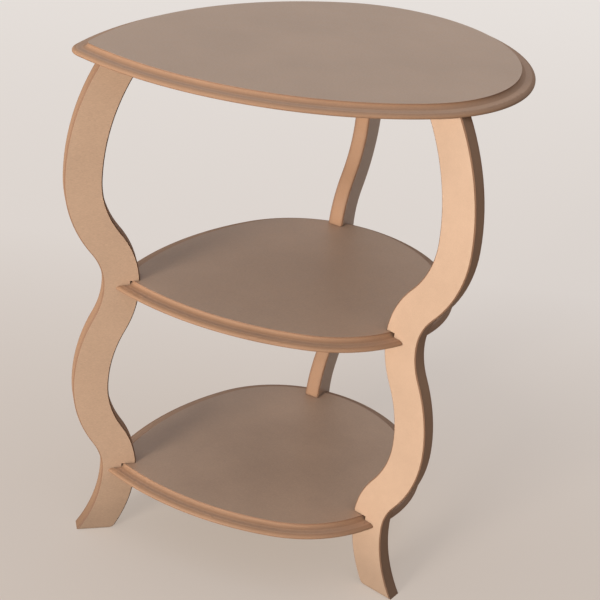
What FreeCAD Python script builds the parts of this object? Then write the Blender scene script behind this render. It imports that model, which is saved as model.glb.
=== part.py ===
import FreeCAD, Part
import enum
import math
import os
import Sketcher

# A three-tier side table: three moulded boards carried by three serpentine legs.
# Each board is pointed at the left leg and broadly rounded between the right and rear legs.
# Millimetres, Z up, origin on the floor on the axis that the legs point to, front towards -Y.

SIZES = {
    "overall_height": 600,
    "board_thickness": 10,
    # Boards: the reach is from the axis to the edge at the right and rear legs. The round's
    # setback is how far its centre lies behind the axis, away from the point. A shelf's point is
    # drawn out a little beyond its reach, and the top's point much further.
    "top_reach": 206,
    "top_overhang": 5,
    "top_point_reach": 233,
    "top_point_radius": 24,
    "top_side_radius": 355,
    "top_round_setback": 79,
    "shelf_point_draw": 3,
    "middle_height": 335.5,
    "middle_setback": 14.5,
    "middle_point_radius": 20,
    "middle_side_radius": 345,
    "middle_round_setback": 46,
    "bottom_height": 93.5,
    "bottom_setback": 8.5,
    "bottom_point_radius": 20,
    "bottom_side_radius": 340,
    "bottom_round_setback": 41,
    # Edge moulding, from the flat field outwards: step, cove at its foot, ledge, rounded lip.
    "moulding_width": 15.5,
    "step_drop": 2,
    "cove_radius": 1,
    "lip_round": 6,
    "low_edge_round": 1.2,
    # Legs: the outer edge's distances from the axis, and its waists at the shelves.
    "leg_thickness": 18,
    "leg_width": 39.5,
    "leg_top_width": 41.5,
    "foot_width": 42,
    "foot_radius": 214,
    "lower_waist_radius": 187.5,
    "lower_swell_radius": 223.5,
    "upper_waist_radius": 194,
    "upper_swell_radius": 238.5,
    "waist_drop": 6,
    "swell_share": 0.48,
    "waist_share": 0.31,
    "leg_edge_chamfer": 1.2,
    "foot_corner_radius": 8,
    # Joints: shelves and legs are halved into each other. The top sits on dowels, which stay
    # under its flat field, inside the moulding.
    "halving_depth": 14,
    "fit_clearance": 0.1,
    "dowel_diameter": 6,
    "dowel_in_leg": 20,
    "dowel_in_top": 6,
    "dowel_end_clearance": 1,
    "dowel_chamfer": 1,
    "dowel_inset": 8,
    "dowel_spacing": 15,
    "cut_overrun": 5,
}
# Degrees from the X axis to the right and rear legs. The left leg lies on that axis.
CORNER_AZIMUTH = 51
POINT_AZIMUTH = 180
LEG_AZIMUTHS = {"left": POINT_AZIMUTH, "right": -CORNER_AZIMUTH, "rear": CORNER_AZIMUTH}
TIERS = ("top", "middle", "bottom")
STATIONS = ("lower_waist", "lower_swell", "upper_waist", "upper_swell")
DOWELS = ("outer", "inner")
# Places that follow from the sizes. A swell lies between the waist below it and what is above.
PLACES = {
    "leg_top_radius": "top_reach - top_overhang",
    "leg_top_height": "overall_height - board_thickness",
    "middle_reach": "upper_waist_radius - middle_setback",
    "bottom_reach": "lower_waist_radius - bottom_setback",
    "middle_point_reach": "middle_reach + shelf_point_draw",
    "bottom_point_reach": "bottom_reach + shelf_point_draw",
    "lower_waist_height": "bottom_height - waist_drop",
    "upper_waist_height": "middle_height - waist_drop",
    "lower_swell_height":
        "lower_waist_height + swell_share * ( upper_waist_height - lower_waist_height )",
    "upper_swell_height":
        "upper_waist_height + swell_share * ( leg_top_height - upper_waist_height )",
}
# A board's round passes through its edge at the right and rear legs.
for tier in TIERS:
    reach, setback = f"{tier}_reach", f"{tier}_round_setback"
    PLACES[f"{tier}_round_radius"] = (
        f"sqrt( {reach} ^ 2 + {setback} ^ 2 - 2 * {reach} * {setback} * cos({CORNER_AZIMUTH}deg) )"
    )


class Point(enum.IntEnum):
    """The points of a line or an arc, in a sketch's own order."""
    START = enum.auto()
    END = enum.auto()
    CENTRE = enum.auto()


START, END, CENTRE = Point
X_AXIS = -1
ROOT = (X_AXIS, START)
Z_UP = FreeCAD.Vector(0, 0, 1)

doc = FreeCAD.newDocument("tiered_side_table")


def make_sheet():
    sheet = doc.addObject("Spreadsheet::Sheet", "Sizes")
    for row, (alias, value) in enumerate(SIZES.items(), start=1):
        sheet.set(f"A{row}", alias)
        sheet.set(f"B{row}", str(value))
        sheet.setAlias(f"B{row}", alias)
    doc.recompute()
    return sheet


def cells(expression):
    """Write an expression's names as cells of the sheet or as places worked out from them."""
    owners = dict.fromkeys(SIZES, "Sizes.") | dict.fromkeys(PLACES, "Places.")
    return " ".join(owners.get(word, "") + word for word in expression.split())


def make_places():
    places = doc.addObject("App::VarSet", "Places")
    for name, expression in PLACES.items():
        places.addProperty("App::PropertyFloat", name, "Places")
        places.setExpression(name, cells(expression))
    doc.recompute()
    return places


SHEET = make_sheet()
PLACE_SET = make_places()


def size(name):
    return float(getattr(PLACE_SET if name in PLACES else SHEET, name))


def vector(x, y):
    return FreeCAD.Vector(x, y, 0)


def arc(centre, radius, start_degrees, end_degrees):
    circle = Part.Circle(centre, Z_UP, radius)
    return Part.ArcOfCircle(circle, math.radians(start_degrees), math.radians(end_degrees))


def new_body(label):
    body = doc.addObject("PartDesign::Body", label)
    body.Label = label
    return body


def origin_feature(body, role):
    return [feature for feature in body.Origin.OriginFeatures if feature.Role == role][0]


def new_sketch(body, name, plane, degrees=0):
    """A sketch on one of the body's own planes, turned in that plane."""
    sketch = body.newObject("Sketcher::SketchObject", f"{body.Name}_{name}")
    sketch.AttachmentSupport = [(origin_feature(body, plane), "")]
    sketch.AttachmentOffset.Rotation = FreeCAD.Rotation(Z_UP, degrees)
    sketch.MapMode = "FlatFace"
    return sketch


def add_feature(body, kind, name, **properties):
    feature = body.newObject(f"PartDesign::{kind}", f"{body.Name}_{name}")
    for key, value in properties.items():
        setattr(feature, key, value)
    return feature


def constrain(sketch, kind, *where):
    return sketch.addConstraint(Sketcher.Constraint(kind, *where))


def bind(sketch, kind, expression, value, *where):
    """Add a dimension that follows an expression in the sheet's sizes."""
    index = constrain(sketch, kind, *where, value)
    sketch.setExpression(f"Constraints[{index}]", cells(expression))


def bind_radius(sketch, geometry, expression):
    bind(sketch, "Radius", expression, sketch.Geometry[geometry].Radius, geometry)


def bind_point(sketch, geometry, position, x_expression=None, y_expression=None):
    """Fix a point's distances from the sketch's origin on the side where it was drawn."""
    point = sketch.getPoint(geometry, position)
    for kind, expression, value in (
        ("DistanceX", x_expression, point.x),
        ("DistanceY", y_expression, point.y),
    ):
        here = (geometry, position)
        ends = (ROOT + here) if value > 0 else (here + ROOT)
        if expression:
            bind(sketch, kind, expression, abs(value), *ends)


def place(obj, height_expression, azimuth):
    """Turn a piece to its azimuth about the table's axis and lift it to its height."""
    obj.Placement.Rotation = FreeCAD.Rotation(Z_UP, azimuth)
    obj.setExpression("Placement.Base.z", cells(height_expression))
    doc.recompute()


def edges_where(shape, test):
    return [f"Edge{number}" for number, edge in enumerate(shape.Edges, start=1) if test(edge)]


def board_angles():
    """Where a board's corners lie in its own frame, whose X axis runs out to the pointed one."""
    return [(azimuth - POINT_AZIMUTH) % 360 for azimuth in LEG_AZIMUTHS.values()]


def draw_board_outline(sketch, tier):
    """A teardrop of tangent arcs: a small one at the point, two long sides and a broad round.

    The point is drawn as two halves, so that the outline starts on the X axis.
    """
    point_radius = size(f"{tier}_point_radius")
    side_radius = size(f"{tier}_side_radius")
    round_radius = size(f"{tier}_round_radius")
    point_centre = vector(size(f"{tier}_point_reach") - point_radius, 0)
    round_centre = vector(-size(f"{tier}_round_setback"), 0)
    span = point_centre.x - round_centre.x
    to_point, to_round = side_radius - point_radius, side_radius - round_radius
    along = (to_point ** 2 - to_round ** 2 + span ** 2) / (2 * span)
    across = math.sqrt(to_point ** 2 - along ** 2)
    side_middle = point_centre.x - along
    point_angle = math.degrees(math.atan2(across, along))
    round_angle = math.degrees(math.atan2(across, along - span))
    outline = [
        arc(point_centre, point_radius, 0, point_angle),
        arc(vector(side_middle, -across), side_radius, point_angle, round_angle),
        arc(round_centre, round_radius, round_angle, 360 - round_angle),
        arc(vector(side_middle, across), side_radius, -round_angle, -point_angle),
        arc(point_centre, point_radius, -point_angle, 0),
    ]
    opening, near_side, broad, far_side, closing = (sketch.addGeometry(piece) for piece in outline)

    for middle_arc in (opening, broad):
        constrain(sketch, "PointOnObject", middle_arc, CENTRE, X_AXIS)
    constrain(sketch, "PointOnObject", opening, START, X_AXIS)
    bind_point(sketch, opening, CENTRE, f"{tier}_point_reach - {tier}_point_radius")
    bind_point(sketch, broad, CENTRE, f"{tier}_round_setback")
    bind_radius(sketch, opening, f"{tier}_point_radius")
    bind_radius(sketch, broad, f"{tier}_round_radius")
    constrain(sketch, "Coincident", closing, CENTRE, opening, CENTRE)
    constrain(sketch, "Coincident", closing, END, opening, START)
    for side in (near_side, far_side):
        bind_radius(sketch, side, f"{tier}_side_radius")
    chain = (opening, near_side, broad, far_side, closing)
    for piece, following in zip(chain, chain[1:]):
        constrain(sketch, "Tangent", piece, END, following, START)
    return len(chain)


def draw_moulding_waste(sketch, tier):
    """The wood that the moulding cutter takes off: it bounds step, cove, ledge and lip."""
    reach, top = size(f"{tier}_point_reach"), size("board_thickness")
    cove, nose = size("cove_radius"), size("lip_round")
    field = reach - size("moulding_width")
    level = top - size("step_drop")
    outside, above = reach + size("cut_overrun"), top + size("cut_overrun")
    corners = {
        "field": vector(field, above),
        "step": vector(field, level + cove),
        "ledge": vector(field + cove, level),
        "nose_top": vector(reach - nose, level),
        "nose": vector(reach, level - nose),
        "out_low": vector(outside, level - nose),
        "out_high": vector(outside, above),
    }
    step = sketch.addGeometry(Part.LineSegment(corners["field"], corners["step"]))
    cove_arc = sketch.addGeometry(arc(vector(field + cove, level + cove), cove, 180, 270))
    ledge = sketch.addGeometry(Part.LineSegment(corners["ledge"], corners["nose_top"]))
    nose_arc = sketch.addGeometry(arc(vector(reach - nose, level - nose), nose, 0, 90))
    below = sketch.addGeometry(Part.LineSegment(corners["nose"], corners["out_low"]))
    outer = sketch.addGeometry(Part.LineSegment(corners["out_low"], corners["out_high"]))
    closing = sketch.addGeometry(Part.LineSegment(corners["out_high"], corners["field"]))

    for upright in (step, outer):
        constrain(sketch, "Vertical", upright)
    for level_line in (ledge, below, closing):
        constrain(sketch, "Horizontal", level_line)
    constrain(sketch, "Tangent", step, END, cove_arc, START)
    constrain(sketch, "Tangent", cove_arc, END, ledge, START)
    constrain(sketch, "Tangent", ledge, END, nose_arc, END)
    constrain(sketch, "Coincident", nose_arc, START, below, START)
    constrain(sketch, "Horizontal", nose_arc, START, nose_arc, CENTRE)
    constrain(sketch, "Coincident", below, END, outer, START)
    constrain(sketch, "Coincident", outer, END, closing, START)
    constrain(sketch, "Coincident", closing, END, step, START)
    bind_radius(sketch, cove_arc, "cove_radius")
    bind_radius(sketch, nose_arc, "lip_round")
    bind_point(sketch, step, END, f"{tier}_point_reach - moulding_width")
    bind_point(sketch, ledge, START, y_expression="board_thickness - step_drop")
    bind_point(sketch, nose_arc, START, f"{tier}_point_reach")
    bind_point(sketch, outer, END, f"{tier}_point_reach + cut_overrun", "board_thickness + cut_overrun")


def make_board(label, tier):
    """A board with its outline, eased lower edge and the moulding run round it."""
    body = new_body(label)
    outline = new_sketch(body, "outline", "XY_Plane")
    arcs = draw_board_outline(outline, tier)
    blank = add_feature(body, "Pad", "blank", Profile=outline)
    blank.setExpression("Length", cells("board_thickness"))
    doc.recompute()

    low_edges = edges_where(blank.Shape, lambda edge: abs(edge.BoundBox.ZMax) < edge.Length / 1e6)
    eased = add_feature(body, "Fillet", "eased_edge", Base=(blank, low_edges))
    eased.setExpression("Radius", cells("low_edge_round"))
    doc.recompute()

    waste = new_sketch(body, "moulding", "XZ_Plane")
    draw_moulding_waste(waste, tier)
    spine_edges = [f"Edge{number}" for number in range(1, arcs + 1)]
    add_feature(body, "SubtractivePipe", "moulded_edge", Profile=waste, Spine=(outline, spine_edges))
    doc.recompute()
    return body


def draw_rectangle(sketch, low, high):
    corners = [low, vector(high.x, low.y), high, vector(low.x, high.y)]
    sides = [
        sketch.addGeometry(Part.LineSegment(corners[k - 1], corners[k]))
        for k in range(len(corners))
    ]
    for k, side in enumerate(sides):
        constrain(sketch, "Coincident", sides[k - 1], END, side, START)
    for upright, level in (sides[:2], sides[2:]):
        constrain(sketch, "Vertical", upright)
        constrain(sketch, "Horizontal", level)
    return sides


def cut_notches(body, tier):
    """Open each corner of a shelf for the leg that it is halved into."""
    half_width = size("leg_thickness") / 2 + size("fit_clearance")
    inner = size(f"{tier}_reach") - size("halving_depth")
    outer = size(f"{tier}_point_reach") + size("cut_overrun")
    width = "leg_thickness / 2 + fit_clearance"
    for leg, degrees in zip(LEG_AZIMUTHS, board_angles()):
        sketch = new_sketch(body, f"{leg}_notch_plan", "XY_Plane", degrees)
        sides = draw_rectangle(sketch, vector(inner, -half_width), vector(outer, half_width))
        bind_point(sketch, sides[1], START, f"{tier}_reach - halving_depth", width)
        bind_point(sketch, sides[2], END, f"{tier}_point_reach + cut_overrun", width)
        add_feature(body, "Pocket", f"{leg}_notch", Profile=sketch, Type="ThroughAll", Reversed=True)
        doc.recompute()


def draw_dowel_circle(sketch, side, radius, radius_expression):
    """One dowel's circle, on the X axis, set in from the inner edge of the leg's top end."""
    x = size("leg_top_radius") - size("leg_top_width") + size("dowel_inset")
    expression = "leg_top_radius - leg_top_width + dowel_inset"
    if side == "outer":
        x += size("dowel_spacing")
        expression += " + dowel_spacing"
    circle = sketch.addGeometry(Part.Circle(vector(x, 0), Z_UP, radius))
    constrain(sketch, "PointOnObject", circle, CENTRE, X_AXIS)
    bind_point(sketch, circle, CENTRE, expression)
    bind_radius(sketch, circle, radius_expression)


def draw_dowel_holes(sketch):
    radius = size("dowel_diameter") / 2 + size("fit_clearance")
    for side in DOWELS:
        draw_dowel_circle(sketch, side, radius, "dowel_diameter / 2 + fit_clearance")


def drill_top(body):
    """Blind dowel holes in the underside of the top, over each leg."""
    for leg, degrees in zip(LEG_AZIMUTHS, board_angles()):
        sketch = new_sketch(body, f"{leg}_dowel_circles", "XY_Plane", degrees)
        draw_dowel_holes(sketch)
        holes = add_feature(body, "Pocket", f"{leg}_dowel_holes", Profile=sketch, Reversed=True)
        holes.setExpression("Length", cells("dowel_in_top + dowel_end_clearance"))
        doc.recompute()


def still_centre(still, end):
    """Centre of the arc that is upright at its still point and runs to its end."""
    rise, run = end.y - still.y, end.x - still.x
    return still + vector((rise ** 2 + run ** 2) / (2 * run), 0)


def outer_stretches():
    """The leg's outer edge from the floor up, as pairs of a still point and an end.

    The edge is upright at its still points, the waists and swells. Two arcs run between two
    of these, a tight one at the waist and a wide one at the swell, and meet on the straight
    line between them. The foot and the top end are single arcs.
    """
    points = {name: vector(size(f"{name}_radius"), size(f"{name}_height")) for name in STATIONS}
    stretches = [(points[STATIONS[0]], vector(size("foot_radius"), 0))]
    for low, high in zip(STATIONS, STATIONS[1:]):
        waist, swell = waist_first(low, high)
        meeting = points[waist] + (points[swell] - points[waist]) * size("waist_share")
        stretches += [(points[low], meeting), (points[high], meeting)]
    return stretches + [(points[STATIONS[-1]], vector(size("leg_top_radius"), size("leg_top_height")))]


def waist_first(low, high):
    """Two neighbouring stations of a leg's edge, the waist before the swell."""
    return (low, high) if low.endswith("waist") else (high, low)


def inner_stretches(outer):
    """The inner edge: the outer one moved in by the leg's width, with ends of its own."""
    width = size("leg_width")
    stretches = []
    for still, end in outer:
        centre = still_centre(still, end)
        radius = centre.x - still.x
        moved_end = centre + (end - centre) * ((radius + width) / radius)
        stretches.append((still - vector(width, 0), moved_end))
    foot, top = outer[0][1], outer[-1][1]
    stretches[0] = (stretches[0][0], foot - vector(size("foot_width"), 0))
    stretches[-1] = (stretches[-1][0], top - vector(size("leg_top_width"), 0))
    return stretches


def draw_leg_edge(sketch, stretches):
    """Draw the arcs of an edge, each returned with its lower end, upper end and still point."""
    arcs = []
    for still, end in stretches:
        centre = still_centre(still, end)
        radius = abs(centre.x - still.x)
        still_angle = 180 if centre.x > still.x else 0
        swing = math.degrees((still - centre).getAngle(end - centre))
        end_angle = still_angle + swing * math.copysign(1, (end.y - still.y) * (still.x - centre.x))
        first, last = sorted((still_angle, end_angle))
        geometry = sketch.addGeometry(arc(centre, radius, first, last))
        at_still, at_end = (START, END) if still_angle == first else (END, START)
        lower, upper = (at_still, at_end) if end.y > still.y else (at_end, at_still)
        arcs.append((geometry, lower, upper, at_still))
    return arcs


def bind_edge_ends(sketch, arcs, foot, top):
    """Fix an edge's lower end on the floor and its upper end at the leg's top."""
    constrain(sketch, "PointOnObject", arcs[0][0], arcs[0][1], X_AXIS)
    bind_point(sketch, arcs[0][0], arcs[0][1], foot)
    bind_point(sketch, arcs[-1][0], arcs[-1][2], top, "leg_top_height")


def bind_outer_edge(sketch, arcs):
    for (geometry, _, upper, _), (following, lower, _, _) in zip(arcs, arcs[1:]):
        constrain(sketch, "Coincident", geometry, upper, following, lower)
    for geometry, _, _, still in arcs:
        constrain(sketch, "Horizontal", geometry, CENTRE, geometry, still)
    for name, (geometry, _, _, still) in zip(STATIONS, arcs[::2]):
        bind_point(sketch, geometry, still, f"{name}_radius", f"{name}_height")
    for low, high, (geometry, _, upper, _) in zip(STATIONS, STATIONS[1:], arcs[1::2]):
        waist, swell = waist_first(low, high)
        bind_point(
            sketch, geometry, upper,
            f"{waist}_radius + waist_share * ( {swell}_radius - {waist}_radius )",
            f"{waist}_height + waist_share * ( {swell}_height - {waist}_height )",
        )
    bind_edge_ends(sketch, arcs, "foot_radius", "leg_top_radius")


def bind_inner_edge(sketch, arcs, outer_arcs):
    for (geometry, _, _, _), (outer, _, _, _) in list(zip(arcs, outer_arcs))[1:-1]:
        constrain(sketch, "Coincident", geometry, CENTRE, outer, CENTRE)
    for geometry, _, _, still in (arcs[0], arcs[1], arcs[2], arcs[4], arcs[6], arcs[7]):
        constrain(sketch, "Horizontal", geometry, CENTRE, geometry, still)
    for number, ((geometry, _, upper, _), (following, lower, _, _)) in enumerate(zip(arcs, arcs[1:])):
        meeting = "Coincident" if number % 2 == 0 else "Tangent"
        constrain(sketch, meeting, geometry, upper, following, lower)
    waist, outer_waist = ((edge[0][0], edge[0][2]) for edge in (arcs, outer_arcs))
    bind(sketch, "DistanceX", "leg_width", size("leg_width"), *waist, *outer_waist)
    bind_edge_ends(sketch, arcs, "foot_radius - foot_width", "leg_top_radius - leg_top_width")


def draw_leg_outline(sketch):
    stretches = outer_stretches()
    outer = draw_leg_edge(sketch, stretches)
    inner = draw_leg_edge(sketch, inner_stretches(stretches))
    bind_outer_edge(sketch, outer)
    bind_inner_edge(sketch, inner, outer)
    for end, position in ((0, 1), (-1, 2)):
        ends = [(edge[end][0], edge[end][position]) for edge in (outer, inner)]
        level = sketch.addGeometry(Part.LineSegment(*(sketch.getPoint(*where) for where in ends)))
        constrain(sketch, "Coincident", level, START, *ends[0])
        constrain(sketch, "Coincident", level, END, *ends[1])


def cut_leg_slots(body):
    """Slots in the leg's inner edge that take the two shelves."""
    sketch = new_sketch(body, "slots", "XZ_Plane")
    for tier, waist in (("bottom", "lower_waist"), ("middle", "upper_waist")):
        inner = size(f"{waist}_radius") - size("leg_width") - size("cut_overrun")
        outer = size(f"{tier}_reach") - size("halving_depth")
        floor = size(f"{tier}_height") - size("board_thickness")
        roof = size(f"{tier}_height") + size("fit_clearance")
        sides = draw_rectangle(sketch, vector(inner, floor), vector(outer, roof))
        bind_point(
            sketch, sides[1], START,
            f"{waist}_radius - leg_width - cut_overrun", f"{tier}_height - board_thickness",
        )
        bind_point(
            sketch, sides[2], END,
            f"{tier}_reach - halving_depth", f"{tier}_height + fit_clearance",
        )
    add_feature(body, "Pocket", "slots", Profile=sketch, Type="ThroughAll", Midplane=True)
    doc.recompute()


def drill_leg(body):
    """Blind dowel holes in the leg's top end."""
    sketch = new_sketch(body, "dowel_holes", "XY_Plane")
    sketch.setExpression("AttachmentOffset.Base.z", cells("leg_top_height"))
    draw_dowel_holes(sketch)
    holes = add_feature(body, "Pocket", "dowel_holes", Profile=sketch)
    holes.setExpression("Length", cells("dowel_in_leg"))
    doc.recompute()


def make_leg(label, azimuth):
    """A serpentine leg, drawn with its outwards direction along X and turned to its azimuth."""
    body = new_body(label)
    outline = new_sketch(body, "outline", "XZ_Plane")
    draw_leg_outline(outline)
    blank = add_feature(body, "Pad", "blank", Profile=outline, Midplane=True)
    blank.setExpression("Length", cells("leg_thickness"))
    doc.recompute()

    half_thickness = size("leg_thickness") / 2
    heel_edges = edges_where(blank.Shape, lambda edge: is_inner_foot_edge(edge, half_thickness))
    heel = add_feature(body, "Fillet", "foot_corner", Base=(blank, heel_edges))
    heel.setExpression("Radius", cells("foot_corner_radius"))
    doc.recompute()

    long_edges = edges_where(heel.Shape, lambda edge: is_long_edge(edge, half_thickness))
    eased = add_feature(body, "Chamfer", "eased_edges", Base=(heel, long_edges))
    eased.setExpression("Size", cells("leg_edge_chamfer"))
    doc.recompute()

    cut_leg_slots(body)
    drill_leg(body)
    place(body, "0 mm", azimuth)
    return body


def is_inner_foot_edge(edge, half_thickness):
    """True for the edge across the leg's thickness at the inner end of the foot."""
    middle = edge.CenterOfMass
    across = abs(edge.BoundBox.YLength - 2 * half_thickness) < half_thickness / 100
    low = abs(middle.z) < half_thickness / 100
    return across and low and middle.x < size("foot_radius") - size("foot_width") / 2


def is_long_edge(edge, half_thickness):
    """True for the curved edges of the leg's two wide faces."""
    on_face = abs(abs(edge.CenterOfMass.y) - half_thickness) < half_thickness / 100
    return on_face and isinstance(edge.Curve, Part.Circle)


def make_dowel(label, side, azimuth):
    body = new_body(label)
    sketch = new_sketch(body, "section", "XY_Plane")
    draw_dowel_circle(sketch, side, size("dowel_diameter") / 2, "dowel_diameter / 2")
    pin = add_feature(body, "Pad", "pin", Profile=sketch)
    pin.setExpression("Length", cells("dowel_in_leg + dowel_in_top"))
    doc.recompute()
    rims = edges_where(pin.Shape, lambda edge: isinstance(edge.Curve, Part.Circle))
    ends = add_feature(body, "Chamfer", "ends", Base=(pin, rims))
    ends.setExpression("Size", cells("dowel_chamfer"))
    place(body, "leg_top_height - dowel_in_leg", azimuth)
    return body


def make_top():
    body = make_board("top_panel", "top")
    drill_top(body)
    place(body, "leg_top_height", POINT_AZIMUTH)
    return body


def make_shelf(label, tier):
    body = make_board(label, tier)
    cut_notches(body, tier)
    place(body, f"{tier}_height - board_thickness", POINT_AZIMUTH)
    return body


def export(pieces):
    """Refuse broken pieces, then write each one to its own file."""
    doc.recompute()
    faults = [obj.Name for obj in doc.Objects if {"Invalid", "Error"} & set(obj.State)]
    faults += [piece.Label for piece in pieces if piece.Shape.isNull() or not piece.Shape.isValid()]
    if faults:
        raise RuntimeError(f"broken pieces: {faults}")
    os.makedirs("parts", exist_ok=True)
    for piece in pieces:
        piece.Shape.exportStep(f"parts/{piece.Label}.step")
        print(piece.Label, "solids", len(piece.Shape.Solids), "volume", round(piece.Shape.Volume))


PIECES = [make_top(), make_shelf("middle_shelf", "middle"), make_shelf("bottom_shelf", "bottom")]
for leg, azimuth in LEG_AZIMUTHS.items():
    PIECES.append(make_leg(f"leg_{leg}", azimuth))
    for side in DOWELS:
        PIECES.append(make_dowel(f"dowel_{leg}_{side}", side, azimuth))
export(PIECES)
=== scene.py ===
import math

import bmesh
import bpy
from mathutils import Matrix, Vector
from mathutils.bvhtree import BVHTree
from mathutils.geometry import intersect_point_line
from mathutils.kdtree import KDTree


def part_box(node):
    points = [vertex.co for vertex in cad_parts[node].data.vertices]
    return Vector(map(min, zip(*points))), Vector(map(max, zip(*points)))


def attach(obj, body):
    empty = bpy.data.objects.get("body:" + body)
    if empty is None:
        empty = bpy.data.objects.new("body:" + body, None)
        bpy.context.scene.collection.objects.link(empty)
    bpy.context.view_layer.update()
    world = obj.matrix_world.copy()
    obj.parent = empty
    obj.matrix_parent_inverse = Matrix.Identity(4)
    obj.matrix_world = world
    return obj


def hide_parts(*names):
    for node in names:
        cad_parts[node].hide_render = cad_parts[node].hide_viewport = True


# The tiered side table in raw fibreboard, on a plain pale floor. Metres, Z up, front towards -Y.

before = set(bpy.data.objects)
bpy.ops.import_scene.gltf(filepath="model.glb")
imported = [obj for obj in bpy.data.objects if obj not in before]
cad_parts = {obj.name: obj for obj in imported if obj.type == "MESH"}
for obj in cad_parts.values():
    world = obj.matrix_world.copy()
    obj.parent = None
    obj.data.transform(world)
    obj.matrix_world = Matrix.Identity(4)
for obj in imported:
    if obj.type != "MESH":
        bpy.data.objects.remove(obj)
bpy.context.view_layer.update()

MILLIMETRE = 0.001
UP = Vector((0, 0, 1))
BOARDS = ("top_panel", "middle_shelf", "bottom_shelf")
LEG_AZIMUTHS = {"left": 180, "right": -51, "rear": 51}

# The boards' moulding is cut deeper than in the CAD solids. Depths below the field, in millimetres,
# of the rim, the step's foot, the ledge, the lip and the underside: in the solid, and as cut.
CAD_DROPS = (0, 1, 2, 8, 10)
CUT_DROPS = (0, 1.0, 5.2, 8.6, 10)
# The solid's cove is a quarter circle below the step. Its corners move further out,
# by their reach from the step times the spread.
STEP_FOOT = CAD_DROPS[1] * MILLIMETRE
COVE_RADIUS = 1 * MILLIMETRE
COVE_SPREAD = 6
COVE_SLACK = 0.01
NEAR_RIM = 1.5 * MILLIMETRE
RIM_SPACING = 0.25 * MILLIMETRE
SOCKET_MARGIN = 1 * MILLIMETRE
WELD = 0.001 * MILLIMETRE
SAME_HEIGHT = 0.01 * MILLIMETRE
LEVEL_NORMAL = 0.9999
SMOOTH_ANGLE = math.radians(14)

# The inner dowels' holes come out through the legs' curved inner edges. A plug fills the lower end
# of each hole flush with the edge, and a shorter dowel stands on it.
PLUG_TOP = 583 * MILLIMETRE
PLUG_LEVELS = 24
RING_POINTS = 32
HOLE_CLEARANCE = 0.12 * MILLIMETRE
DOWEL_CHAMFER = 1 * MILLIMETRE
BESIDE_HOLE = 6 * MILLIMETRE
# Where the edge crosses the hole, as a share of its radius: above the first nothing is filled,
# and below the second nearly all of it is.
PLUG_EMPTY, PLUG_FULL = 0.97, -0.998

# Camera: place in metres, angles in degrees, focal length in pixels of a 600 pixel frame.
CAMERA_PLACE = Vector((-0.3633, -1.3387, 1.0701))
CAMERA_AZIMUTH, CAMERA_DROP, CAMERA_ROLL = 16.35, 28.85, 6.68
FOCAL_PIXELS, FRAME_PIXELS, SENSOR_WIDTH = 1409.2, 600, 36

# Key lamp: low, from the front left, and large enough for soft shadows.
KEY_AZIMUTH, KEY_ELEVATION, KEY_DISTANCE = 216, 7, 8.0
KEY_SIZE, KEY_POWER = 2.8, 820
KEY_COLOUR = (1.0, 0.975, 0.955)
KEY_TARGET = Vector((0, 0, 0.3))
# Sky: cool and strongest overhead, faint and warm at the horizon and below it.
SKY_COLOUR = (0.85, 1.0, 1.26, 1)
HORIZON_COLOUR = (0.1, 0.075, 0.06, 1)
SKY_FALLOFF = 2.0

# Floor: its colour fades from near to far, at these distances beyond the table's axis.
FLOOR_RADIUS, FLOOR_SEGMENTS = 60, 96
FLOOR_FADE = (-0.2, 3.3)
FLOOR_MIDDLE = 0.16
FLOOR_SHADE = (0.31, 0.27, 0.23, 1)
FLOOR_GLOW = 0.76


def linear(red, green, blue):
    """A display colour in 0 to 255 as the linear colour that a shader takes."""
    def channel(value):
        share = value / 255
        return share / 12.92 if share <= 0.04045 else ((share + 0.055) / 1.055) ** 2.4
    return (channel(red), channel(green), channel(blue), 1)


FACE_COLOUR = linear(190, 156, 127)
EDGE_CORE_COLOUR = linear(164, 124, 92)
EDGE_SKIN_COLOUR = linear(136, 99, 72)
# The ledge: the pale open core, made paler still as painted light.
LEDGE_CORE_AND_LIGHT_COLOUR = linear(186, 146, 114)
WORN_HIGHLIGHT_COLOUR = linear(206, 172, 142)
DOWEL_COLOUR = linear(205, 172, 132)
DOWEL_GRAIN_COLOUR = linear(178, 138, 98)
BACKDROP_NEAR = linear(190, 176, 163)
BACKDROP_MIDDLE = linear(216, 207, 199)
BACKDROP_FAR = linear(238, 232, 226)

# Fibreboard. A pair is the range over which a look comes in, or the two values it goes between.
LEVEL_FACING, SKIN_DEPTH = (0.96, 0.995), (0.8, 0.95)
FIBRE_SCALES, FIBRE_TURNS, FIBRE_TONE = (420, 2600, 1500), (0, 55, 120), 0.2
CLOUD_SCALE, CLOUD_DETAIL, CLOUD_TONE = 14.0, 4.0, 0.2
BLOTCH_SCALE, BLOTCH_DETAIL, BLOTCH_TONE = 120.0, 3.0, 0.08
LAYER_SCALE, LAYER_DRIFT, LAYER_DETAIL, LAYER_TONE, SKIN_POWER = 1400.0, 90, 3.0, 0.7, 3.0
# Painted shade: darker where other surfaces stand close, in creases, corners and the cove.
CREASE_SHADE_REACH, CREASE_SHADE_OPENNESS, CREASE_SHADE_TONE = 6 * MILLIMETRE, (0.35, 0.9), (0.62, 1.0)
# Painted shade: darker towards the floor, in the lowest few centimetres.
LOW_SHADE_HEIGHT, LOW_SHADE_DRIFT, LOW_SHADE_TONE = (0.0, 0.12), 0.04, (0.68, 1.0)
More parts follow.
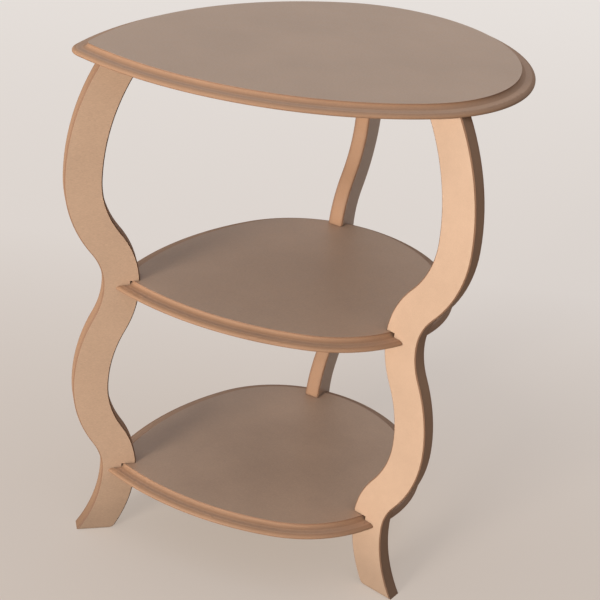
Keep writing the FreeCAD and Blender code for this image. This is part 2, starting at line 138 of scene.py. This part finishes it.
# Arrises lightened in patches: partly rubbed wear, partly a painted highlight.
ARRIS_RADIUS, ARRIS_TURN, ARRIS_DEPTH = 1.5 * MILLIMETRE, (0.01, 0.2), (0.5, 0.8)
HIGHLIGHT_WEAR_BLOTCHES, HIGHLIGHT_WEAR_PATCHES, HIGHLIGHT_WEAR_STRENGTH = (-0.2, 0.2), (0.3, 1.0), 0.2
EDGE_ROUGHNESS, FACE_ROUGHNESS, BLOTCH_ROUGHNESS = 0.72, 0.46, 0.2
BUMP_STRENGTH, BUMP_DISTANCE, BLOTCH_HEIGHT = 0.14, 0.12 * MILLIMETRE, 0.5
BOARD_IOR = 1.47
NEAR_SURFACE_SAMPLES = 8

# Beech.
GRAIN_SCALES, GRAIN_DETAIL, DOWEL_ROUGHNESS = (900, 900, 60), 3.0, 0.55


def direction(azimuth, elevation=0):
    """The unit vector at these angles, in degrees, from +X and from the floor."""
    azimuth, elevation = math.radians(azimuth), math.radians(elevation)
    level = math.cos(elevation)
    return Vector((level * math.cos(azimuth), level * math.sin(azimuth), math.sin(elevation)))


class Graph:
    """A material's or world's nodes, added by kind and linked by value."""

    def __init__(self, owner):
        owner.use_nodes = True
        self.tree = owner.node_tree
        self.tree.nodes.clear()

    def add(self, kind, inputs=None, **settings):
        node = self.tree.nodes.new(kind)
        for key, value in settings.items():
            setattr(node, key, value)
        for key, value in (inputs or {}).items():
            self.feed(node.inputs[key], value)
        return node

    def feed(self, socket, value):
        if isinstance(value, bpy.types.NodeSocket):
            self.tree.links.new(value, socket)
        else:
            socket.default_value = value

    def math(self, operation, first, second=0.0, clamp=False):
        inputs = {0: first, 1: second}
        return self.add("ShaderNodeMath", inputs, operation=operation, use_clamp=clamp).outputs[0]

    def vector_math(self, operation, first, second, output="Vector"):
        inputs = {0: first, 1: second}
        return self.add("ShaderNodeVectorMath", inputs, operation=operation).outputs[output]

    def dot(self, vector, axis):
        return self.vector_math("DOT_PRODUCT", vector, axis, "Value")

    def scaled_sum(self, first, second, scale):
        return self.math("ADD", first, self.math("MULTIPLY", second, scale))

    def remap(self, value, old, new=(0.0, 1.0)):
        inputs = {"Value": value, 1: old[0], 2: old[1], 3: new[0], 4: new[1]}
        return self.add("ShaderNodeMapRange", inputs, interpolation_type="SMOOTHSTEP").outputs[0]

    def mix(self, factor, first, second, blend="MIX"):
        inputs = {0: factor, 6: first, 7: second}
        return self.add("ShaderNodeMix", inputs, data_type="RGBA", blend_type=blend).outputs[2]

    def times(self, colour, share):
        return self.mix(1.0, colour, share, blend="MULTIPLY")

    def noise(self, vector, scale, detail):
        inputs = {"Vector": vector, "Scale": scale, "Detail": detail}
        return self.add("ShaderNodeTexNoise", inputs).outputs[0]

    def variation(self, vector, scale, detail):
        """Noise around zero."""
        return self.math("SUBTRACT", self.noise(vector, scale, detail), 0.5)

    def stretched(self, vector, scales, turn=(0, 0, 0)):
        inputs = {"Vector": vector, "Rotation": turn, "Scale": scales}
        return self.add("ShaderNodeMapping", inputs).outputs[0]

    def height_of(self, vector):
        return self.add("ShaderNodeSeparateXYZ", {0: vector}).outputs["Z"]

    def finish(self, shader, output="ShaderNodeOutputMaterial"):
        self.add(output, {"Surface": shader})


def fibre_marks(graph, place):
    """Short fibres pressed flat in all directions, as a value around zero."""
    marks = 0.0
    for degrees in FIBRE_TURNS:
        lengthways = graph.stretched(place, FIBRE_SCALES, (0, 0, math.radians(degrees)))
        marks = graph.math("ADD", marks, graph.variation(lengthways, 1.0, 1.0))
    return marks


def layered_edge(graph, place, depth, axis):
    """A cut edge: pale fuzzy core between darker, denser skins, in thin layers."""
    across = graph.math("MULTIPLY", graph.dot(place, axis), LAYER_SCALE)
    layers = graph.add("ShaderNodeCombineXYZ", {"X": across}).outputs[0]
    drift = graph.vector_math("MULTIPLY", place, (LAYER_DRIFT, LAYER_DRIFT, LAYER_DRIFT))
    streaks = graph.variation(graph.vector_math("ADD", layers, drift), 1.0, LAYER_DETAIL)
    density = graph.scaled_sum(graph.math("POWER", depth, SKIN_POWER), streaks, LAYER_TONE)
    return graph.mix(graph.remap(density, (0.0, 1.0)), EDGE_CORE_COLOUR, EDGE_SKIN_COLOUR)


def worn_and_highlit_arrises(graph, depth, blotches):
    """How much the board's arrises are lightened in patches: partly rubbed wear, partly a painted
    highlight.
    """
    bevel = {"Radius": ARRIS_RADIUS}
    rounded = graph.add("ShaderNodeBevel", bevel, samples=NEAR_SURFACE_SAMPLES).outputs[0]
    flat = graph.add("ShaderNodeNewGeometry").outputs["Normal"]
    turned = graph.math("SUBTRACT", 1.0, graph.dot(rounded, flat))
    patches = graph.remap(blotches, HIGHLIGHT_WEAR_BLOTCHES, HIGHLIGHT_WEAR_PATCHES)
    worn_and_highlit = graph.math("MULTIPLY", graph.remap(turned, ARRIS_TURN), patches)
    worn_and_highlit = graph.math("MULTIPLY", worn_and_highlit, graph.remap(depth, ARRIS_DEPTH))
    return graph.math("MULTIPLY", worn_and_highlit, HIGHLIGHT_WEAR_STRENGTH)


def fibreboard(name, axis, middle, thickness):
    """Raw fibreboard: smooth pressed faces square to an axis, and layered cut edges."""
    material = bpy.data.materials.new(name)
    graph = Graph(material)
    coordinates = graph.add("ShaderNodeTexCoord")
    place, normal = coordinates.outputs["Object"], coordinates.outputs["Normal"]
    facing = graph.math("ABSOLUTE", graph.dot(normal, axis))
    off_middle = graph.math("ABSOLUTE", graph.math("SUBTRACT", graph.dot(place, axis), middle))
    depth = graph.math("DIVIDE", off_middle, thickness / 2, clamp=True)
    # Only the outermost skin is pressed smooth. A ledge cut below it shows the pale open core, made
    # paler still as painted light, standing in for the key light that a sloped moulding would
    # catch.
    level = graph.remap(facing, LEVEL_FACING)
    face = graph.math("MULTIPLY", level, graph.remap(depth, SKIN_DEPTH))

    marks = fibre_marks(graph, place)
    clouds = graph.variation(place, CLOUD_SCALE, CLOUD_DETAIL)
    blotches = graph.variation(place, BLOTCH_SCALE, BLOTCH_DETAIL)
    tone = graph.scaled_sum(graph.math("MULTIPLY", clouds, CLOUD_TONE), blotches, BLOTCH_TONE)
    tone = graph.scaled_sum(tone, marks, FIBRE_TONE)
    colour = graph.mix(level, layered_edge(graph, place, depth, axis), LEDGE_CORE_AND_LIGHT_COLOUR)
    colour = graph.mix(face, colour, FACE_COLOUR)
    colour = graph.times(colour, graph.math("ADD", tone, 1.0))

    # Painted shade in creases, corners and the cove, set by how close other surfaces stand.
    nearby = {"Distance": CREASE_SHADE_REACH}
    corners = graph.add("ShaderNodeAmbientOcclusion", nearby, samples=NEAR_SURFACE_SAMPLES)
    colour = graph.times(colour, graph.remap(corners.outputs["AO"], CREASE_SHADE_OPENNESS, CREASE_SHADE_TONE))
    # Painted shade: darker close to the floor, with a wavering upper edge.
    low_shade_place = graph.scaled_sum(graph.height_of(place), clouds, LOW_SHADE_DRIFT)
    colour = graph.times(colour, graph.remap(low_shade_place, LOW_SHADE_HEIGHT, LOW_SHADE_TONE))
    # Arrises lightened in patches: partly rubbed wear, partly a painted highlight.
    colour = graph.mix(worn_and_highlit_arrises(graph, depth, blotches), colour, WORN_HIGHLIGHT_COLOUR)

    roughness = graph.remap(face, (0.0, 1.0), (EDGE_ROUGHNESS, FACE_ROUGHNESS))
    roughness = graph.scaled_sum(roughness, blotches, BLOTCH_ROUGHNESS)
    relief = {
        "Strength": BUMP_STRENGTH,
        "Distance": BUMP_DISTANCE,
        "Height": graph.scaled_sum(marks, blotches, BLOTCH_HEIGHT),
    }
    surface = {
        "Base Color": colour,
        "Roughness": roughness,
        "Normal": graph.add("ShaderNodeBump", relief).outputs[0],
        "IOR": BOARD_IOR,
    }
    graph.finish(graph.add("ShaderNodeBsdfPrincipled", surface).outputs[0])
    return material


def beech(name):
    """Plain turned beech with grain along its length."""
    material = bpy.data.materials.new(name)
    graph = Graph(material)
    place = graph.add("ShaderNodeTexCoord").outputs["Object"]
    grain = graph.noise(graph.stretched(place, GRAIN_SCALES), 1.0, GRAIN_DETAIL)
    colour = graph.mix(grain, DOWEL_COLOUR, DOWEL_GRAIN_COLOUR)
    surface = {"Base Color": colour, "Roughness": DOWEL_ROUGHNESS}
    graph.finish(graph.add("ShaderNodeBsdfPrincipled", surface).outputs[0])
    return material


def dress(node, material):
    """Gives a CAD node one material."""
    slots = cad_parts[node].data.materials
    slots.clear()
    slots.append(material)


def add_piece(name, mesh):
    """A new piece of the table from a mesh."""
    piece = bpy.data.objects.new(name, mesh)
    bpy.context.scene.collection.objects.link(piece)
    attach(piece, "root")
    return piece


def level_place(point):
    """A point's place in plan."""
    return Vector((point.x, point.y, 0))


def is_level(face):
    return abs(face.normal.z) > LEVEL_NORMAL


def cut_drop(drop):
    """The depth below the field, as cut, of a place at this depth on the solid's own moulding."""
    spans = zip(CAD_DROPS, CAD_DROPS[1:], CUT_DROPS, CUT_DROPS[1:])
    for start, end, cut_start, cut_end in spans:
        if drop <= end * MILLIMETRE:
            share = (drop / MILLIMETRE - start) / (end - start)
            return (cut_start + share * (cut_end - cut_start)) * MILLIMETRE
    return drop


class Rim:
    """The edges round a board's flat field, where the step begins."""

    def __init__(self, shape, height):
        self.edges = []
        for edge in shape.edges:
            at_height = all(abs(corner.co.z - height) < SAME_HEIGHT for corner in edge.verts)
            if at_height and sum(is_level(face) for face in edge.link_faces) == 1:
                self.edges.append([level_place(corner.co) for corner in edge.verts])
        marks = []
        for number, (first, second) in enumerate(self.edges):
            count = math.ceil((second - first).length / RIM_SPACING)
            marks += [(first.lerp(second, step / count), number) for step in range(count + 1)]
        self.tree = KDTree(len(marks))
        for place, number in marks:
            self.tree.insert(place, number)
        self.tree.balance()

    def nearest(self, place):
        """The place on the rim that is nearest to another one."""
        first, second = self.edges[self.tree.find(place)[1]]
        share = intersect_point_line(place, first, second)[1]
        return first.lerp(second, min(max(share, 0), 1))


def find_sockets(board):
    """The dowels' holes in a board, in plan: their centres, and their reaches with a margin."""
    if board != "top_panel":
        return []
    boxes = [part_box(node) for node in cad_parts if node.startswith("dowel")]
    return [
        (level_place((low + high) / 2), (high.x - low.x) / 2 + SOCKET_MARGIN)
        for low, high in boxes
    ]


def deepen_moulding(shape, board):
    """Moves the moulding's corners to where it is cut, and returns those of the cove."""
    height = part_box(board)[1].z
    rim = Rim(shape, height)
    sockets = find_sockets(board)
    cove = set()
    for corner in shape.verts:
        drop = height - corner.co.z
        place = level_place(corner.co)
        in_socket = any((place - centre).length < reach for centre, reach in sockets)
        if drop < WELD or in_socket:
            continue
        outward = place - rim.nearest(place)
        below_step = (drop - STEP_FOOT) / COVE_RADIUS
        if outward.length < NEAR_RIM and -COVE_SLACK < below_step < 1 + COVE_SLACK:
            share = min(max(below_step, 0), 1)
            reach = COVE_RADIUS * (1 - math.sqrt(1 - share ** 2))
            corner.co += outward.normalized() * reach * COVE_SPREAD
            cove.add(corner)
        corner.co.z = height - cut_drop(drop)
    shape.normal_update()
    return cove


def even_out(shape, corners):
    """Turns the triangles' edges between these corners, so that they follow the surface."""
    faces = [face for face in shape.faces if all(corner in corners for corner in face.verts)]
    inner = set(faces)
    edges = [edge for edge in shape.edges if all(face in inner for face in edge.link_faces)]
    bmesh.ops.beautify_fill(shape, faces=faces, edges=edges, method="ANGLE")
    shape.normal_update()


def smooth_curves(shape):
    """Shades the curved faces smooth, and keeps the level ones flat."""
    for face in shape.faces:
        face.smooth = True
    for edge in shape.edges:
        same = len({is_level(face) for face in edge.link_faces}) == 1
        edge.smooth = same and edge.calc_face_angle(0) < SMOOTH_ANGLE


def make_board(board):
    """Stands for a board, with a tall cove below its field and a lower lip."""
    shape = bmesh.new()
    shape.from_mesh(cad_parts[board].data)
    bmesh.ops.remove_doubles(shape, verts=shape.verts, dist=WELD)
    even_out(shape, deepen_moulding(shape, board))
    smooth_curves(shape)
    mesh = bpy.data.meshes.new(f"{board}_moulded")
    shape.to_mesh(mesh)
    shape.free()
    piece = add_piece(f"{board}_moulded", mesh)
    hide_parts(board)
    return piece


def stack_rings(name, rings):
    """A closed piece from rings of points, counter-clockwise from above, from the lowest up."""
    count = len(rings[0])
    faces = [tuple(reversed(range(count)))]
    for level in range(len(rings) - 1):
        low, high = level * count, (level + 1) * count
        for step in range(count):
            after = (step + 1) % count
            faces.append((low + step, low + after, high + after, high + step))
    faces.append(tuple(range((len(rings) - 1) * count, len(rings) * count)))
    mesh = bpy.data.meshes.new(name)
    mesh.from_pydata([point for ring in rings for point in ring], [], faces)
    return add_piece(name, mesh)


def make_plug(leg, azimuth):
    """The part of an inner dowel's hole that lies within the leg's edge, below the short dowel."""
    low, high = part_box(f"dowel_{leg}_inner")
    centre = (low + high) / 2
    radius = (high.x - low.x) / 2 + HOLE_CLEARANCE
    outward, sideways = direction(azimuth), direction(azimuth + 90)
    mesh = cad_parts[f"leg_{leg}"].data
    corners = [vertex.co for vertex in mesh.vertices]
    surface = BVHTree.FromPolygons(corners, [polygon.vertices for polygon in mesh.polygons])
    rings = []
    for level in range(PLUG_LEVELS + 1):
        height = low.z + (PLUG_TOP - low.z) * level / PLUG_LEVELS
        middle = Vector((centre.x, centre.y, height))
        beside = middle + sideways * BESIDE_HOLE
        reach = beside.dot(outward)
        edge = surface.ray_cast(beside - outward * reach, outward)[3] - reach
        share = edge / radius
        if share > PLUG_EMPTY:
            continue
        spread = math.acos(max(share, PLUG_FULL))
        turns = [spread * (2 * step / (RING_POINTS - 1) - 1) for step in range(RING_POINTS)]
        spokes = [outward * math.cos(turn) + sideways * math.sin(turn) for turn in turns]
        rings.append([middle + spoke * radius for spoke in spokes])
    return stack_rings(f"leg_{leg}_plug", rings)


def make_short_dowel(leg):
    """Stands for the inner dowel, and ends inside the leg."""
    node = f"dowel_{leg}_inner"
    low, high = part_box(node)
    centre, radius = (low + high) / 2, (high.x - low.x) / 2
    turns = [math.tau * step / RING_POINTS for step in range(RING_POINTS)]
    spokes = [Vector((math.cos(turn), math.sin(turn), 0)) for turn in turns]
    profile = (
        (PLUG_TOP, radius - DOWEL_CHAMFER),
        (PLUG_TOP + DOWEL_CHAMFER, radius),
        (high.z - DOWEL_CHAMFER, radius),
        (high.z, radius - DOWEL_CHAMFER),
    )
    rings = []
    for height, reach in profile:
        middle = Vector((centre.x, centre.y, height))
        rings.append([middle + spoke * reach for spoke in spokes])
    dowel = stack_rings(f"{node}_short", rings)
    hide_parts(node)
    return dowel


def fibreboard_for(name, node, axis):
    """Fibreboard for a node that was cut from board, whose faces are square to an axis."""
    reaches = [vertex.co.dot(axis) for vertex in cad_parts[node].data.vertices]
    low, high = min(reaches), max(reaches)
    return fibreboard(name, axis, (low + high) / 2, high - low)


def dress_table():
    for board in BOARDS:
        board_material = fibreboard_for(f"{board}_fibreboard", board, UP)
        make_board(board).data.materials.append(board_material)
    dowel_material = beech("dowel_beech")
    for leg, azimuth in LEG_AZIMUTHS.items():
        sideways = direction(azimuth + 90)
        leg_material = fibreboard_for(f"leg_{leg}_fibreboard", f"leg_{leg}", sideways)
        dress(f"leg_{leg}", leg_material)
        dress(f"dowel_{leg}_outer", dowel_material)
        make_plug(leg, azimuth).data.materials.append(leg_material)
        make_short_dowel(leg).data.materials.append(dowel_material)


def seen_directly(graph):
    """One for rays that show the backdrop itself: from the camera, a reflection or clear glass."""
    rays = graph.add("ShaderNodeLightPath").outputs
    seen = graph.math("MAXIMUM", rays["Is Camera Ray"], rays["Is Glossy Ray"])
    return graph.math("MAXIMUM", seen, rays["Is Transmission Ray"])


def floor_material():
    """Pale floor, lighter in the distance, which keeps the table's shadow."""
    material = bpy.data.materials.new("pale_floor")
    graph = Graph(material)
    place = graph.add("ShaderNodeTexCoord").outputs["Object"]
    away = graph.dot(place, direction(90 - CAMERA_AZIMUTH))
    ramp = graph.add("ShaderNodeValToRGB", {0: graph.remap(away, FLOOR_FADE)})
    ramp.color_ramp.elements[0].color = BACKDROP_NEAR
    ramp.color_ramp.elements[1].color = BACKDROP_FAR
    ramp.color_ramp.elements.new(FLOOR_MIDDLE).color = BACKDROP_MIDDLE
    shade = graph.add("ShaderNodeBsdfDiffuse", {"Color": FLOOR_SHADE}).outputs[0]
    light = {"Color": ramp.outputs[0], "Strength": FLOOR_GLOW}
    glow = graph.add("ShaderNodeEmission", light).outputs[0]
    lit = graph.add("ShaderNodeAddShader", {0: shade, 1: glow}).outputs[0]
    choice = {0: seen_directly(graph), 1: shade, 2: lit}
    graph.finish(graph.add("ShaderNodeMixShader", choice).outputs[0])
    return material


def make_floor():
    bpy.ops.mesh.primitive_circle_add(
        vertices=FLOOR_SEGMENTS, radius=FLOOR_RADIUS, fill_type="NGON"
    )
    floor = bpy.context.object
    floor.name = "floor"
    floor.data.materials.append(floor_material())


def make_world():
    """Soft light from overhead, and a plain backdrop where the world itself is seen."""
    world = bpy.data.worlds.new("studio")
    bpy.context.scene.world = world
    graph = Graph(world)
    height = graph.height_of(graph.add("ShaderNodeTexCoord").outputs["Generated"])
    overhead = graph.math("POWER", graph.math("MAXIMUM", height, 0.0), SKY_FALLOFF)
    sky = graph.mix(overhead, HORIZON_COLOUR, SKY_COLOUR)
    ambient = graph.add("ShaderNodeBackground", {"Color": sky}).outputs[0]
    backdrop = graph.add("ShaderNodeBackground", {"Color": BACKDROP_FAR}).outputs[0]
    choice = {0: seen_directly(graph), 1: ambient, 2: backdrop}
    surface = graph.add("ShaderNodeMixShader", choice).outputs[0]
    graph.finish(surface, "ShaderNodeOutputWorld")


def make_key_lamp():
    data = bpy.data.lights.new("key", "AREA")
    data.shape = "DISK"
    data.size = KEY_SIZE
    data.energy = KEY_POWER
    data.color = KEY_COLOUR
    lamp = bpy.data.objects.new("key", data)
    lamp.visible_camera = False
    towards = direction(KEY_AZIMUTH, KEY_ELEVATION)
    lamp.location = KEY_TARGET + towards * KEY_DISTANCE
    lamp.rotation_euler = towards.to_track_quat("Z", "Y").to_euler()
    bpy.context.scene.collection.objects.link(lamp)


def make_camera():
    data = bpy.data.cameras.new("camera")
    data.sensor_width = SENSOR_WIDTH
    data.lens = FOCAL_PIXELS * SENSOR_WIDTH / FRAME_PIXELS
    ahead = direction(90 - CAMERA_AZIMUTH, -CAMERA_DROP)
    roll = Matrix.Rotation(math.radians(-CAMERA_ROLL), 3, ahead)
    right = roll @ ahead.cross(UP).normalized()
    up = right.cross(ahead)
    turn = Matrix((right, up, -ahead)).transposed().to_4x4()
    camera = bpy.data.objects.new("camera", data)
    camera.matrix_world = Matrix.Translation(CAMERA_PLACE) @ turn
    bpy.context.scene.collection.objects.link(camera)
    bpy.context.scene.camera = camera


dress_table()
make_floor()
make_world()
make_key_lamp()
make_camera()
bpy.context.scene.view_settings.view_transform = "Standard"
